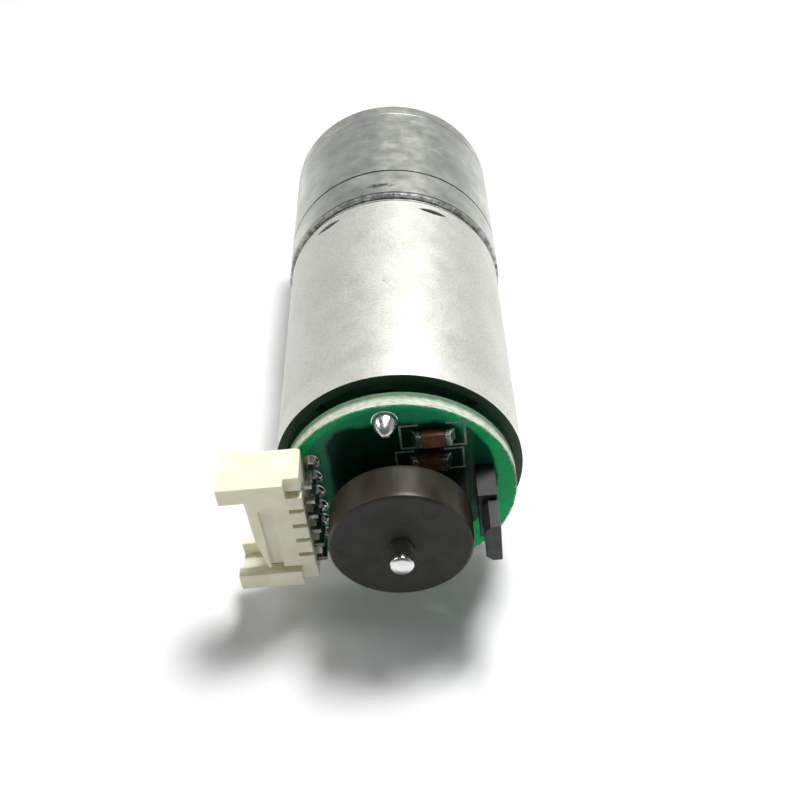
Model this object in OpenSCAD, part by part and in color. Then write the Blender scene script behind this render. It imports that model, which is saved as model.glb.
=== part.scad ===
// Geared DC motor with a magnetic encoder, for wheels and joints of small robots.
//
// The shaft axis is Y. The gearbox's mounting face lies at Y = 0, the output shaft points
// to +Y and the encoder to -Y, Z is up and X is to the right.
// Every sub-part is drawn along its own Z, which is the depth behind the mounting face, so the
// output shaft has negative depths. to_part_frame() then turns the depth to -Y.

/* [Gearbox] */
// Outside diameter of the round gearbox case
gearbox_d = 25; // [25:0.1:26]
// Length of the gearbox case, from the mounting face to the motor
gearbox_l = 21.84; // [21.84:0.02:22.4]
// Thickness of the front plate's rim
front_rim_t = 2.4; // [2:0.1:2.8]
// Length of the rear plate, which carries the motor
rear_plate_l = 5.4; // [5.2:0.1:6]
// Wall thickness of the case tube
case_wall = 1; // [0.7:0.1:1]
// Distance between the two mounting holes
mount_spacing = 17; // [16:0.5:17.5]
// Diameter of the mounting holes' M3 thread, as drilled
mount_hole_d = 2.5; // [2.4:0.1:3]

/* [Output shaft] */
// Diameter of the pilot boss on the mounting face
boss_d = 7; // [6.6:0.1:7.4]
// Height of the pilot boss
boss_l = 2.5; // [1.5:0.1:3]
// Diameter of the output shaft
output_d = 4; // [3.6:0.1:4]
// Reach of the output shaft past the mounting face
output_reach = 12; // [9:0.5:16]
// Depth of the flat on the output shaft
flat_depth = 0.5; // [0.3:0.05:0.5]
// Length of the flat on the output shaft
flat_l = 9; // [5:0.5:9]

/* [Gear train] */
// Module of all the gears
gear_module = 0.4; // [0.38:0.01:0.4]
// Teeth on the motor pinion and on each compound gear's pinion
pinion_teeth = 10; // [9:1:10]
// Teeth on each wheel
wheel_teeth = 22; // [21:1:22]
// Backlash in each mesh, along the pitch circle
backlash = 0.08; // [0.06:0.01:0.12]
// Thickness of each wheel
wheel_t = 2.2; // [1.6:0.1:2.2]
// Diameter of the two gear pins
pin_d = 2; // [1.6:0.1:2]

/* [Motor] */
// Outside diameter of the motor can
can_d = 24.4; // [24:0.1:24.6]
// Length of the motor can
can_l = 31.2; // [31:0.1:33]
// Wall thickness of the motor can
can_wall = 0.9; // [0.7:0.1:1]
// Diameter of the motor shaft
motor_shaft_d = 2.3; // [2:0.1:2.3]
// Angle of the upper brush terminal about the shaft, seen from the encoder end
terminal_angle = 97.7; // [90:0.1:100]

/* [Encoder] */
// Turn of the encoder board about the shaft, seen from the encoder end
board_turn = 4.5; // [0:0.5:10]
// Diameter of the encoder board
board_d = 22.66; // [22:0.1:24]
// Thickness of the encoder board
board_t = 1.7; // [1.5:0.1:1.8]
// Gap between the can's rim and the board
board_gap = 1.4; // [1.2:0.1:2]
// Diameter of the encoder magnet
magnet_d = 13.52; // [12:0.02:13.6]
// Thickness of the encoder magnet
magnet_t = 4.06; // [3:0.02:4.4]
// Gap between the board and the magnet
magnet_gap = 3.02; // [2.6:0.02:3.6]

/* [Connector] */
// Number of contacts
contacts = 6; // [4:1:6]
// Distance between neighbouring contacts
contact_pitch = 2; // [1.5:0.5:2]
// Depth of the housing, along the way the plug goes in
housing_depth = 7.6; // [7:0.1:8]
// Height of the housing off the board
housing_h = 4.8; // [4.4:0.1:5.2]

/* [Hidden] */
$fn = 96;

// How far a cutting shape runs past the face it cuts
cut = 0.5;
// Radial clearance of a shaft or pin that turns in its bore
running_gap = 0.04;
// Clearance between two still pieces that locate each other
seat_gap = 0.02;
// Bevel along the edges where two case pieces meet
joint_bevel = 0.12;

// Gearbox case, as depths behind the mounting face
gearbox_r = gearbox_d / 2;
case_inner_r = gearbox_r - case_wall;
front_plate_end = front_rim_t + 0.6;
tube_end = gearbox_l - rear_plate_l;
register_l = 0.7;
register_r = gearbox_r - case_wall / 2;
rear_floor = tube_end + 1.75;
front_edge_bevel = 0.4;

// Screws that tie the case together, and the two that hold the motor
tie_angles = [90, 210, 330];
tie_circle_r = 10.4;
tie_screw_r = 0.8;
tie_head_r = 1.5;
tie_head_h = 0.7;
tie_screw_end = rear_floor + 2.2;
motor_screw_circle_r = 8;
motor_screw_r = 1.25;
motor_screw_head_r = 2.2;
motor_screw_head_h = 0.95;
recess_w = 0.35;
recess_depth = 0.35;

// Gear sizes
pressure_angle = 25;
addendum = 0.85 * gear_module;
dedendum = 1.05 * gear_module;
flank_steps = 3;
centre_distance = gear_module * (pinion_teeth + wheel_teeth) / 2;
pin_r = pin_d / 2;
pin_angle_left = 120;
pin_angle_right = 60;
pin_front = front_plate_end - 1.6;
pin_rear = rear_floor + 2;

// Levels of the train. Level 1 is nearest to the motor and level 5 holds the output gear.
level_pitch = 2.9;
level_count = 5;
wheel_gap = 0.35;
end_play = 0.05;
train_rear = rear_floor - 0.2;
function level_front(n) = train_rear - n * level_pitch;
function wheel_front(n) = level_front(n) + wheel_gap;

// Output shaft and bushing
output_r = output_d / 2;
bushing_r = boss_d / 2 - 0.6;
output_gear_front = level_front(level_count) - 0.1;
output_gear_rear = level_front(level_count) + 2.5;
output_shaft_rear = level_front(level_count - 1) - 0.05;
output_chamfer = 0.35;
relief_w = 0.6;
relief_clear = 0.05;
relief_depth = 0.25;
washer_r = 3.4;

// Motor, as depths behind the mounting face
can_r = can_d / 2;
can_inner_r = can_r - can_wall;
can_front = gearbox_l;
can_rear = can_front + can_l;
can_floor_t = 1;
can_edge_r = 0.25;
can_shoulder_l = 0.5;
can_shoulder_step = 0.15;
can_boss_r = 3.5;
can_boss_l = 1.5;
motor_shaft_r = motor_shaft_d / 2;
motor_shaft_front = level_front(1) + 0.2;
bearing_r = 2.4;
motor_turn = terminal_angle - 90;
dimple_angle = 29.3;
dimple_depth = can_front + 2.1;
dimple_size = [0.8, 3.4, 0.7];
crimp_angles = [42, 140, 222, 320];
crimp_w = 2.4;
crimp_reach = 1.7;
end_cap_rear = can_rear - 0.84;
end_cap_front = end_cap_rear - 1.8;
field_front = can_front + 3.6;
field_rear = field_front + 20.5;
field_inner_r = 8.4;
field_half_angle = 62;
spring_half_angle = 23;
spring_t = 0.5;

// Armature and commutator
core_front = can_front + 5.2;
core_rear = core_front + 15.5;
core_r = 7.9;
pole_count = 5;
pole_arm_w = 2;
pole_shoe_inner_r = 6.9;
pole_slot_w = 1.5;
core_hub_r = 2.8;
coil_inner_r = 3.1;
coil_outer_r = 6.5;
coil_half_w = 2;
coil_overhang = 1.2;
commutator_front = core_rear + 2;
commutator_rear = commutator_front + 4.6;
commutator_r = 2.6;
commutator_hub_r = 1.8;
segment_gap = 0.3;

// Brushes, arms and terminals
brush_front = commutator_front + 1.9;
brush_rear = brush_front + 2;
brush_gap = 0.03;
brush_outer_x = 5.5;
brush_half_w = 0.9;
arm_t = 0.3;
terminal_r = 9.4;
terminal_t = 0.4;
terminal_w = 1.8;
terminal_tail_w = 1;

// Encoder board and magnet, as depths behind the mounting face
board_r = board_d / 2;
board_front = can_rear + board_gap;
board_rear = board_front + board_t;
board_hole_r = 3.3;
cap_boss_r = 3.9;
cap_spigot_r = 3.2;
cap_spigot_rear = board_rear - 0.3;
magnet_front = board_rear + magnet_gap;
magnet_rear = magnet_front + magnet_t;
magnet_r = magnet_d / 2;
magnet_bevel = 0.3;
magnet_hub_r = 2.6;
magnet_hub_l = 1.6;
motor_shaft_rear = magnet_rear + 2.58;

// Chip capacitors, as [across, up] centres on the board
capacitor_centres = [[3.76, 7.22], [3.3, 4.09]];
capacitor_l = 3.2;
capacitor_w = 1.6;
capacitor_h = 0.95;
capacitor_end_l = 0.5;
capacitor_foot = 0.45;

// Hall sensor on its spacer
spacer_inner_x = 7.36;
spacer_t = 1.86;
spacer_half_w = 2.85;
spacer_h = 4.06;
sensor_t = 1.5;
sensor_half_w = 2.25;
sensor_h = 3.5;
sensor_bevel = 0.55;
lead_count = 4;
lead_pitch = 1.1;
lead_w = 0.4;
lead_tail = 0.7;

// Connector, seen with its mouth to the left. The end walls stand taller than the roof.
contact_row_x = -7.94;
housing_rear_x = -8.7;
housing_mouth_x = housing_rear_x - housing_depth;
housing_half_l = contact_pitch * (contacts - 1) / 2 + 1.9;
lip_inner = housing_half_l - 1.9;
end_wall_t = 0.55;
lip_t = 0.95;
roof_drop = 0.45;
roof_t = 0.6;
housing_floor = 0.85;
roof_edge_x = housing_mouth_x + 2.2;
roof_edge_slant = 0.9;
roof_slot_w = 0.45;
roof_slot_run_in = 0.3;
floor_cut_half = lip_inner - 0.25;
floor_cut_l = 3.2;
back_wall_t = 1.45;
rear_step_h = 0.9;
groove_x = housing_mouth_x + 3.25;
groove_w = 1.3;
groove_depth = 0.5;
groove_round_r = 0.9;
notch_w = 0.5;
notch_l = 1.4;
contact_w = 0.5;
contact_h = 3.1;
contact_tip_x = housing_mouth_x + 2.9;
contact_tail = 0.75;
pad_hole_r = 0.45;
solder_base_r = 0.8;
solder_top_r = 0.4;
solder_h = 0.6;
joint_base_r = 1.15;
joint_top_r = 0.35;
joint_h = 2.1;

// ---- placing and simple shapes ----

module to_part_frame() {
    rotate([90, 0, 0]) children();
}

module turned(angle, r) {
    rotate([0, 0, angle]) translate([r, 0, 0]) children();
}

module on_board() {
    to_part_frame() rotate([0, 0, board_turn]) children();
}

module in_motor() {
    to_part_frame() rotate([0, 0, motor_turn]) children();
}

module disc(front, rear, r) {
    translate([0, 0, front]) cylinder(r = r, h = rear - front);
}

module sleeve(front, rear, r, bore_r) {
    difference() {
        disc(front, rear, r);
        disc(front - cut, rear + cut, bore_r);
    }
}

module beveled_disc(front, rear, r, front_bevel, rear_bevel) {
    rotate_extrude()
        polygon([
            [0, front],
            [r - front_bevel, front],
            [r, front + front_bevel],
            [r, rear - rear_bevel],
            [r - rear_bevel, rear],
            [0, rear]
        ]);
}

// A box from its lowest and highest corner
module block(low, high) {
    translate(low) cube(high - low);
}

// Sector of a ring, centred on the local X axis
module ring_sector(front, rear, r, inner_r, half_angle) {
    arc = [for (a = [-half_angle : half_angle / 12 : half_angle + 0.001]) [cos(a), sin(a)]];
    inner_arc = [for (i = [len(arc) - 1 : -1 : 0]) arc[i] * inner_r];
    translate([0, 0, front])
        linear_extrude(rear - front)
            polygon(concat([for (p = arc) p * r], inner_arc));
}

// ---- gears ----

function pitch_r(teeth) = gear_module * teeth / 2;
function base_r(teeth) = pitch_r(teeth) * cos(pressure_angle);
function tip_r(teeth) = pitch_r(teeth) + addendum;
function root_r(teeth) = pitch_r(teeth) - dedendum;
function involute_angle(roll) = tan(roll) * 180 / PI - roll;
function roll_at(teeth, r) = r <= base_r(teeth) ? 0 : acos(base_r(teeth) / r);
function half_tooth(teeth, r) =
    (PI * gear_module / 2 - backlash / 2) / 2 / pitch_r(teeth) * 180 / PI
    + involute_angle(pressure_angle) - involute_angle(roll_at(teeth, r));

// Radii of the points along one flank, from the root to the tip
function flank_radii(teeth) =
    let (low = max(base_r(teeth), root_r(teeth)), rise = (tip_r(teeth) - low) / flank_steps)
    concat(
        low - root_r(teeth) > backlash ? [root_r(teeth)] : [],
        [for (i = [0 : flank_steps]) low + i * rise]
    );

function tooth(teeth, angle) =
    let (radii = flank_radii(teeth), last = len(radii) - 1)
    concat(
        [for (r = radii) r * [cos(angle - half_tooth(teeth, r)), sin(angle - half_tooth(teeth, r))]],
        [for (i = [last : -1 : 0]) radii[i] * [cos(angle + half_tooth(teeth, radii[i])),
                                               sin(angle + half_tooth(teeth, radii[i]))]]
    );

module toothed(teeth, phase, front, rear) {
    outline = [for (i = [0 : teeth - 1]) each tooth(teeth, phase + i * 360 / teeth)];
    translate([0, 0, front])
        linear_extrude(rear - front)
            polygon(outline);
}

// Phase of a wheel that meshes with a pinion of a given phase, where direction is the angle
// from the pinion's centre to the wheel's centre
function meshed_phase(pinion_phase, direction) =
    direction + 180 - (180 - pinion_teeth * (direction - pinion_phase)) / wheel_teeth;

// Odd compound gears turn on the left pin and even ones on the right pin
function pin_angle(n) = n % 2 == 1 ? pin_angle_left : pin_angle_right;
function mesh_direction(n) = n == 1 ? pin_angle_left : n == level_count ? 240 : n % 2 == 0 ? 0 : 180;
function gear_phase(n) = n == 0 ? 0 : meshed_phase(gear_phase(n - 1), mesh_direction(n));

module compound_gear(n) {
    color("#c9ccce")
        to_part_frame()
            turned(pin_angle(n), centre_distance)
                rotate([0, 0, -pin_angle(n)])
                    difference() {
                        union() {
                            toothed(pinion_teeth, gear_phase(n), level_front(n + 1) + 2 * end_play,
                                wheel_front(n));
                            toothed(wheel_teeth, gear_phase(n), wheel_front(n), wheel_front(n) + wheel_t);
                            disc(wheel_front(n) + wheel_t, level_front(n - 1) - end_play, pin_r + 0.45);
                        }
                        disc(level_front(n + 1) - cut, level_front(n - 1) + cut, pin_r + running_gap);
                    }
}

// ---- gearbox case ----

module mounting_hole_places() {
    for (side = [0, 180])
        turned(side, mount_spacing / 2) children();
}

module tie_screw_places() {
    for (angle = tie_angles)
        turned(angle, tie_circle_r) children();
}

module motor_screw_places() {
    for (side = [0, 180])
        turned(side, motor_screw_circle_r) children();
}

module gear_pin_places() {
    for (angle = [pin_angle_left, pin_angle_right])
        turned(angle, centre_distance) children();
}

// Flat countersunk screw, head first. grow widens it into the hole that takes it.
module flat_screw(front, rear, r, head_r, head_h, grow) {
    union() {
        disc(front, rear + grow * 10, r + grow);
        translate([0, 0, front]) cylinder(r1 = head_r + grow, r2 = r + grow, h = head_h);
    }
}

module cross_recess(front, half_l) {
    for (turn = [0, 90])
        rotate([0, 0, turn])
            block([-half_l, -recess_w / 2, front - cut], [half_l, recess_w / 2, front + recess_depth]);
}

module front_plate() {
    color("#8d9390")
        to_part_frame()
            difference() {
                union() {
                    beveled_disc(0, front_rim_t, gearbox_r, front_edge_bevel, joint_bevel);
                    disc(front_rim_t / 2, front_plate_end, case_inner_r - seat_gap);
                    disc(-boss_l, 1, boss_d / 2);
                }
                disc(-boss_l - cut, front_plate_end + cut, bushing_r + seat_gap);
                mounting_hole_places() disc(-cut, front_plate_end + cut, mount_hole_d / 2);
                tie_screw_places()
                    flat_screw(0, front_plate_end, tie_screw_r, tie_head_r, tie_head_h, seat_gap);
                gear_pin_places() disc(pin_front - seat_gap, front_plate_end + cut, pin_r + seat_gap);
            }
}

module gearbox_tube() {
    color("#868c89")
        to_part_frame()
            difference() {
                union() {
                    beveled_disc(front_rim_t, tube_end, gearbox_r, joint_bevel, joint_bevel);
                    disc(tube_end - 1, tube_end + register_l, register_r);
                }
                disc(front_rim_t - cut, tube_end + register_l + cut, case_inner_r);
            }
}

module rear_plate() {
    color("#8b918d")
        to_part_frame()
            difference() {
                beveled_disc(tube_end, gearbox_l, gearbox_r, joint_bevel, joint_bevel);
                disc(tube_end - cut, tube_end + register_l + seat_gap, register_r + seat_gap);
                disc(tube_end, rear_floor, case_inner_r);
                disc(rear_floor - cut, gearbox_l + cut, 2.8);
                disc(gearbox_l - can_boss_l - 0.1, gearbox_l + cut, can_boss_r + 0.1);
                tie_screw_places() disc(rear_floor - cut, tie_screw_end + 0.3, tie_screw_r + seat_gap);
                motor_screw_places()
                    flat_screw(rear_floor, gearbox_l, motor_screw_r, motor_screw_head_r,
                        motor_screw_head_h, seat_gap);
                gear_pin_places() disc(rear_floor - cut, pin_rear + seat_gap, pin_r + seat_gap);
            }
}

module output_bushing() {
    color("#b08d57")
        to_part_frame()
            sleeve(-boss_l, front_plate_end, bushing_r, output_r + running_gap);
}

module gear_pin(angle) {
    color("#b9bcbf")
        to_part_frame()
            turned(angle, centre_distance)
                beveled_disc(pin_front, pin_rear, pin_r, 0.15, 0.15);
}

module pin_spacer(angle, front, rear) {
    turned(angle, centre_distance)
        sleeve(front, rear, pin_r + 0.45, pin_r + seat_gap);
}

module pin_spacers() {
    color("#c2a15c")
        to_part_frame() {
            pin_spacer(pin_angle_left, front_plate_end + end_play, level_front(level_count - 1) - end_play);
            pin_spacer(pin_angle_right, front_plate_end + end_play, level_front(level_count));
            pin_spacer(pin_angle_right, level_front(1) + end_play, rear_floor - end_play);
        }
}

module tie_screws() {
    color("#3b3d40")
        to_part_frame()
            tie_screw_places()
                difference() {
                    flat_screw(0, tie_screw_end, tie_screw_r, tie_head_r, tie_head_h, 0);
                    cross_recess(0, 0.8);
                }
}

module motor_mount_screws() {
    color("#a9adb0")
        to_part_frame()
            motor_screw_places()
                difference() {
                    flat_screw(rear_floor, can_front + can_floor_t + 0.4, motor_screw_r,
                        motor_screw_head_r, motor_screw_head_h, 0);
                    cross_recess(rear_floor, 1.2);
                }
}

// ---- output ----

module output_shaft() {
    color("#c7cacc")
        to_part_frame()
            difference() {
                beveled_disc(-output_reach, output_shaft_rear, output_r, output_chamfer, 0.1);
                block([-output_d, output_r - flat_depth, -output_reach - cut],
                    [output_d, output_d, flat_l - output_reach]);
                // relief groove just in front of the bushing
                sleeve(-boss_l - relief_clear - relief_w, -boss_l - relief_clear, output_d,
                    output_r - relief_depth);
            }
}

module output_gear() {
    color("#c0b48e")
        to_part_frame()
            difference() {
                toothed(wheel_teeth, gear_phase(level_count), output_gear_front, output_gear_rear);
                disc(output_gear_front - cut, output_gear_rear + cut, output_r);
            }
}

module output_washer() {
    color("#b9bcbf")
        to_part_frame()
            sleeve(front_plate_end + end_play, output_gear_front - end_play, washer_r, output_r + seat_gap);
}

// ---- motor ----

// Rounded front edge of the drawn can, as points from the front face to the shoulder
function can_edge() =
    let (edge_x = can_r - can_shoulder_step - can_edge_r, edge_z = can_front + can_edge_r)
    [for (a = [90 : -15 : 0]) [edge_x + can_edge_r * cos(a), edge_z - can_edge_r * sin(a)]];

module can_shell() {
    rotate_extrude()
        polygon(concat(
            [[0, can_front]],
            can_edge(),
            [[can_r - can_shoulder_step, can_front + can_shoulder_l],
             [can_r, can_front + can_shoulder_l + can_shoulder_step],
             [can_r, can_rear],
             [can_inner_r, can_rear],
             [can_inner_r, can_front + can_floor_t],
             [0, can_front + can_floor_t]]
        ));
}

// Stamped dimples that hold the field magnets, one pair over each magnet
module dimple_places() {
    for (side = [0, 180], lean = [-dimple_angle, dimple_angle])
        turned(90 + side + lean, can_r - dimple_size[2] / 2)
            translate([0, 0, dimple_depth])
                children();
}

// Hollow of a dimple: its outline is two arcs that meet in a point at each end
module dimple_cut() {
    arc_r = (pow(dimple_size[0], 2) + pow(dimple_size[1], 2)) / (4 * dimple_size[0]);
    rotate([0, 90, 0])
        intersection_for (side = [-1, 1])
            translate([side * (arc_r - dimple_size[0] / 2), 0, cut])
                cylinder(r = arc_r, h = dimple_size[2] + 2 * cut, center = true);
}

module motor_can() {
    color("#cfd2d0")
        to_part_frame() {
            difference() {
                union() {
                    can_shell();
                    disc(can_front - can_boss_l, can_front + can_floor_t, can_boss_r);
                    rotate([0, 0, motor_turn])
                        dimple_places()
                            cube([dimple_size[2] + 0.7, dimple_size[1] + 0.8, dimple_size[0] + 0.8],
                                center = true);
                }
                difference() {
                    disc(can_front - cut, can_rear + cut, can_r + 2);
                    disc(can_front - 2 * cut, can_rear + 2 * cut, can_r);
                }
                disc(can_front - can_boss_l - cut, can_front + can_floor_t + cut, bearing_r + seat_gap);
                motor_screw_places()
                    disc(can_front - cut, can_front + can_floor_t + cut, motor_screw_r + seat_gap);
                rotate([0, 0, motor_turn])
                    dimple_places()
                        dimple_cut();
            }
            for (angle = crimp_angles)
                rotate([0, 0, angle])
                    block([can_inner_r - crimp_reach, -crimp_w / 2, end_cap_rear + seat_gap],
                        [can_inner_r + can_wall / 2, crimp_w / 2, can_rear]);
        }
}

module front_bearing() {
    color("#b08d57")
        to_part_frame()
            sleeve(can_front - can_boss_l, can_front + can_floor_t + 0.8, bearing_r,
                motor_shaft_r + running_gap);
}

module field_magnet(angle) {
    color("#3a3b3f")
        in_motor()
            rotate([0, 0, angle])
                ring_sector(field_front, field_rear, can_inner_r - seat_gap, field_inner_r,
                    field_half_angle);
}

module magnet_springs() {
    color("#8f9498")
        in_motor()
            for (side = [0, 180])
                rotate([0, 0, side])
                    ring_sector(field_front + 2, field_rear - 2, can_inner_r - seat_gap,
                        can_inner_r - spring_t, spring_half_angle);
}

module terminal_places() {
    for (side = [0, 180])
        rotate([0, 0, side])
            translate([0, terminal_r, 0])
                children();
}

module terminal_blade(grow) {
    block([-terminal_w / 2 - grow, -terminal_t / 2 - grow, brush_front - grow],
        [terminal_w / 2 + grow, terminal_t / 2 + grow, board_front - 0.2]);
    block([-terminal_tail_w / 2 - grow, -terminal_t / 2 - grow, brush_front],
        [terminal_tail_w / 2 + grow, terminal_t / 2 + grow, board_rear + 1.1]);
}

module end_cap() {
    color("#1f2623")
        to_part_frame()
            difference() {
                union() {
                    disc(end_cap_front, end_cap_rear, can_inner_r - seat_gap);
                    sleeve(end_cap_front - 1.4, end_cap_front + 0.1, can_inner_r - seat_gap, 9.9);
                    disc(end_cap_rear - 0.1, board_front, cap_boss_r);
                    disc(end_cap_rear, cap_spigot_rear, cap_spigot_r);
                }
                disc(end_cap_front - cut, cap_spigot_rear + cut, bearing_r + seat_gap);
                rotate([0, 0, motor_turn])
                    terminal_places() terminal_blade(0.05);
            }
}

module rear_bearing() {
    color("#b08d57")
        to_part_frame()
            sleeve(end_cap_front + 0.5, cap_spigot_rear - 0.2, bearing_r, motor_shaft_r + running_gap);
}

module brushes() {
    color("#2e2e2e")
        in_motor()
            for (side = [0, 180])
                rotate([0, 0, side])
                    difference() {
                        block([0, -brush_half_w, brush_front], [brush_outer_x, brush_half_w, brush_rear]);
                        disc(brush_front - cut, brush_rear + cut, commutator_r + brush_gap);
                    }
}

// Spring leaf from the back of a brush round to the foot of its terminal
module brush_arms() {
    foot_y = terminal_r - terminal_t / 2;
    color("#b5803f")
        in_motor()
            for (side = [0, 180])
                rotate([0, 0, side])
                    union() {
                        block([brush_outer_x, -brush_half_w, brush_front],
                            [brush_outer_x + arm_t, foot_y, brush_rear]);
                        block([-terminal_tail_w / 2, foot_y - arm_t, brush_front],
                            [brush_outer_x + arm_t, foot_y, brush_rear]);
                    }
}

module motor_terminals() {
    color("#d0c9b0")
        in_motor()
            terminal_places()
                terminal_blade(0);
}

// ---- rotor ----

module motor_shaft() {
    color("#d7dadb")
        to_part_frame()
            beveled_disc(motor_shaft_front, motor_shaft_rear, motor_shaft_r, 0.15, 0.3);
}

module motor_pinion() {
    color("#c9b06a")
        to_part_frame()
            difference() {
                toothed(pinion_teeth, gear_phase(0), motor_shaft_front, gearbox_l - can_boss_l - 0.2);
                disc(motor_shaft_front - cut, gearbox_l, motor_shaft_r);
            }
}

module armature_core() {
    color("#7d8185")
        to_part_frame()
            difference() {
                union() {
                    disc(core_front, core_rear, core_hub_r);
                    for (i = [0 : pole_count - 1])
                        rotate([0, 0, i * 360 / pole_count])
                            block([core_hub_r - 0.5, -pole_arm_w / 2, core_front],
                                [pole_shoe_inner_r + 0.3, pole_arm_w / 2, core_rear]);
                    sleeve(core_front, core_rear, core_r, pole_shoe_inner_r);
                }
                disc(core_front - cut, core_rear + cut, motor_shaft_r);
                for (i = [0 : pole_count - 1])
                    rotate([0, 0, (i + 0.5) * 360 / pole_count])
                        block([core_hub_r + 0.5, -pole_slot_w / 2, core_front - cut],
                            [core_r + cut, pole_slot_w / 2, core_rear + cut]);
            }
}

module armature_windings() {
    color("#b4622d")
        to_part_frame()
            for (i = [0 : pole_count - 1])
                rotate([0, 0, i * 360 / pole_count])
                    difference() {
                        block([coil_inner_r, -coil_half_w, core_front - coil_overhang],
                            [coil_outer_r, coil_half_w, core_rear + coil_overhang]);
                        block([0, -pole_arm_w / 2 - seat_gap, core_front - seat_gap],
                            [core_r, pole_arm_w / 2 + seat_gap, core_rear + seat_gap]);
                    }
}

module commutator_hub() {
    color("#3c2f26")
        to_part_frame()
            sleeve(commutator_front, commutator_rear, commutator_hub_r, motor_shaft_r);
}

module commutator_segments() {
    color("#b87333")
        to_part_frame()
            difference() {
                sleeve(commutator_front + 0.4, commutator_rear - 0.3, commutator_r, commutator_hub_r);
                for (i = [0 : pole_count - 1])
                    rotate([0, 0, (i + 0.5) * 360 / pole_count])
                        block([0, -segment_gap / 2, commutator_front],
                            [core_r, segment_gap / 2, commutator_rear]);
            }
}

module rotor_spacers() {
    color("#d8d3c0")
        to_part_frame() {
            sleeve(can_front + can_floor_t + 0.9, core_front, motor_shaft_r + 0.6, motor_shaft_r);
            sleeve(commutator_rear, end_cap_front + 0.4, motor_shaft_r + 0.5, motor_shaft_r);
        }
}

module encoder_magnet() {
    color("#3a332e")
        to_part_frame()
            difference() {
                union() {
                    beveled_disc(magnet_front, magnet_rear, magnet_r, magnet_bevel, magnet_bevel);
                    disc(magnet_front - magnet_hub_l, magnet_front + 0.1, magnet_hub_r);
                }
                disc(magnet_front - magnet_hub_l - cut, magnet_rear + cut, motor_shaft_r);
            }
}

// ---- encoder board and what is soldered to it ----

module contact_places() {
    for (i = [0 : contacts - 1])
        translate([contact_row_x, (i - (contacts - 1) / 2) * contact_pitch, 0])
            children();
}

module lead_places() {
    for (i = [0 : lead_count - 1])
        translate([spacer_inner_x + spacer_t / 2, (i - (lead_count - 1) / 2) * lead_pitch, 0])
            children();
}

module encoder_board() {
    color("#0b5c33")
        difference() {
            on_board()
                difference() {
                    disc(board_front, board_rear, board_r);
                    disc(board_front - cut, board_rear + cut, board_hole_r);
                    contact_places() disc(board_front - cut, board_rear + cut, pad_hole_r);
                    lead_places() disc(board_front - cut, board_rear + cut, lead_w);
                }
            in_motor()
                terminal_places()
                    block([-terminal_tail_w / 2 - 0.1, -terminal_t / 2 - 0.1, board_front - cut],
                        [terminal_tail_w / 2 + 0.1, terminal_t / 2 + 0.1, board_rear + cut]);
        }
}

module terminal_solder() {
    color("#d9dcde")
        in_motor()
            terminal_places()
                difference() {
                    translate([0, 0, board_rear])
                        cylinder(r1 = joint_base_r, r2 = joint_top_r, h = joint_h);
                    terminal_blade(0);
                }
}

module capacitor_bodies() {
    color("#8a6a4a")
        on_board()
            for (centre = capacitor_centres)
                translate([centre[0], centre[1], board_rear])
                    block([capacitor_end_l - capacitor_l / 2, -capacitor_w / 2, 0.05],
                        [capacitor_l / 2 - capacitor_end_l, capacitor_w / 2, capacitor_h]);
}

// Metal ends with the solder that climbs them
module capacitor_ends() {
    end_half = capacitor_l / 2;
    color("#c3c6c6")
        on_board()
            for (centre = capacitor_centres, side = [0, 180])
                translate([centre[0], centre[1], board_rear])
                    rotate([0, 0, side])
                        translate([0, capacitor_w / 2, 0])
                            rotate([90, 0, 0])
                                linear_extrude(capacitor_w)
                                    polygon([
                                        [end_half - capacitor_end_l, 0],
                                        [end_half + capacitor_foot, 0],
                                        [end_half + 0.1, capacitor_h * 0.7],
                                        [end_half, capacitor_h],
                                        [end_half - capacitor_end_l, capacitor_h]
                                    ]);
}

module hall_spacer() {
    color("#1d1f1f")
        on_board()
            difference() {
                block([spacer_inner_x, -spacer_half_w, board_rear],
                    [spacer_inner_x + spacer_t, spacer_half_w, board_rear + spacer_h]);
                lead_places()
                    translate([0, 0, board_rear + spacer_h / 2])
                        cube([lead_w + 2 * seat_gap, lead_w + 2 * seat_gap, spacer_h + 2 * cut],
                            center = true);
            }
}

// Sensor package with its magnet-side edge beveled at both ends of the width
module hall_sensor() {
    outer_x = spacer_inner_x + spacer_t;
    inner_x = outer_x - sensor_t;
    front = board_rear + spacer_h;
    color("#25282a")
        on_board()
            translate([0, 0, front])
                linear_extrude(sensor_h)
                    polygon([
                        [outer_x, -sensor_half_w],
                        [outer_x, sensor_half_w],
                        [inner_x + sensor_bevel, sensor_half_w],
                        [inner_x, sensor_half_w - sensor_bevel],
                        [inner_x, sensor_bevel - sensor_half_w],
                        [inner_x + sensor_bevel, -sensor_half_w]
                    ]);
}

module hall_leads() {
    front = board_front - lead_tail;
    rear = board_rear + spacer_h;
    color("#c9cccd")
        on_board()
            lead_places()
                block([-lead_w / 2, -lead_w / 2, front], [lead_w / 2, lead_w / 2, rear]);
}

// One contact: a level pin in the housing and a leg down through the board
module contact() {
    level = board_rear + contact_h;
    half = contact_w / 2;
    block([contact_tip_x - contact_row_x, -half, level - half], [half, half, level + half]);
    block([-half, -half, board_front - contact_tail], [half, half, level + half]);
}

// Plan of the roof's front edge and of the sunken groove behind it
module roof_mouth_cut() {
    polygon([
        [housing_mouth_x - cut, -lip_inner],
        [roof_edge_x + roof_edge_slant, -lip_inner],
        [roof_edge_x + 0.15, -1],
        [roof_edge_x, lip_inner],
        [housing_mouth_x - cut, lip_inner]
    ]);
}

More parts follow.
